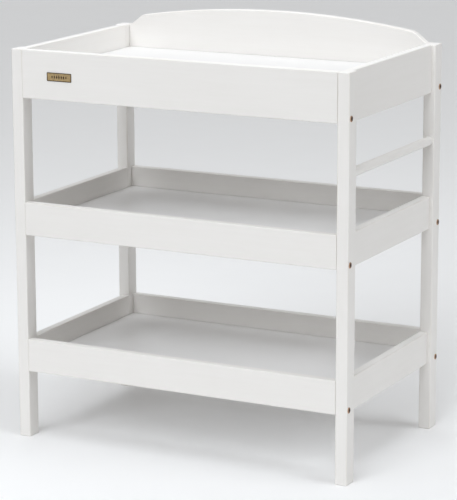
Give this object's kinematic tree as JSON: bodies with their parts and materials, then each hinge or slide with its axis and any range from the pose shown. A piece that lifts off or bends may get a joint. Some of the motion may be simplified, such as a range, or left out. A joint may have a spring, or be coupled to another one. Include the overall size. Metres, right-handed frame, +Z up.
{
  "type": "changing table",
  "caption": "Open wooden changing table: deep tray with an arched back, two shelves with raised boards, and a towel rail at one end.",
  "frame": {"origin": "on the floor, under the middle of the table", "axes": "+Z up, -Y towards the user at the front, +X towards the towel-rail end"},
  "size_m": [0.8646, 0.5263, 0.989],
  "materials": {
    "painted_wood": "white satin paint on solid wood, faint grain under the paint, softly eased edges",
    "painted_board": "white-faced fibreboard, smooth satin",
    "painted_batten": "white-painted softwood strip",
    "bronzed_steel": "antique bronze plating, satin, worn bright on the rim",
    "zinc_steel": "bright zinc plating",
    "beech": "plain beech, unpainted",
    "brass": "antiqued brass, dark rim, satin field"
  },
  "bodies": {
    "root": {"leg_front_left": "painted_wood", "leg_front_right": "painted_wood", "leg_back_left": "painted_wood", "leg_back_right": "painted_wood", "top_front_rail": "painted_wood", "middle_front_rail": "painted_wood", "bottom_front_rail": "painted_wood", "back_panel": "painted_wood", "middle_back_rail": "painted_wood", "bottom_back_rail": "painted_wood", "top_left_end_rail": "painted_wood", "top_right_end_rail": "painted_wood", "middle_left_end_rail": "painted_wood", "middle_right_end_rail": "painted_wood", "bottom_left_end_rail": "painted_wood", "bottom_right_end_rail": "painted_wood", "changing_deck": "painted_board", "middle_shelf": "painted_board", "bottom_shelf": "painted_board", "deck_batten_front": "painted_batten", "deck_batten_back": "painted_batten", "middle_batten_front": "painted_batten", "middle_batten_back": "painted_batten", "bottom_batten_front": "painted_batten", "bottom_batten_back": "painted_batten", "towel_rail": "painted_wood", "connector_bolts_left": "bronzed_steel", "connector_bolts_right": "bronzed_steel", "barrel_nuts_left": "zinc_steel", "barrel_nuts_right": "zinc_steel", "locating_dowels_left": "beech", "locating_dowels_right": "beech", "end_dowels_top": "beech", "end_dowels_middle": "beech", "end_dowels_bottom": "beech", "batten_screws_deck": "zinc_steel", "batten_screws_middle": "zinc_steel", "batten_screws_bottom": "zinc_steel", "badge_plate": "brass", "badge_pins": "brass"}
  },
  "joints": []
}
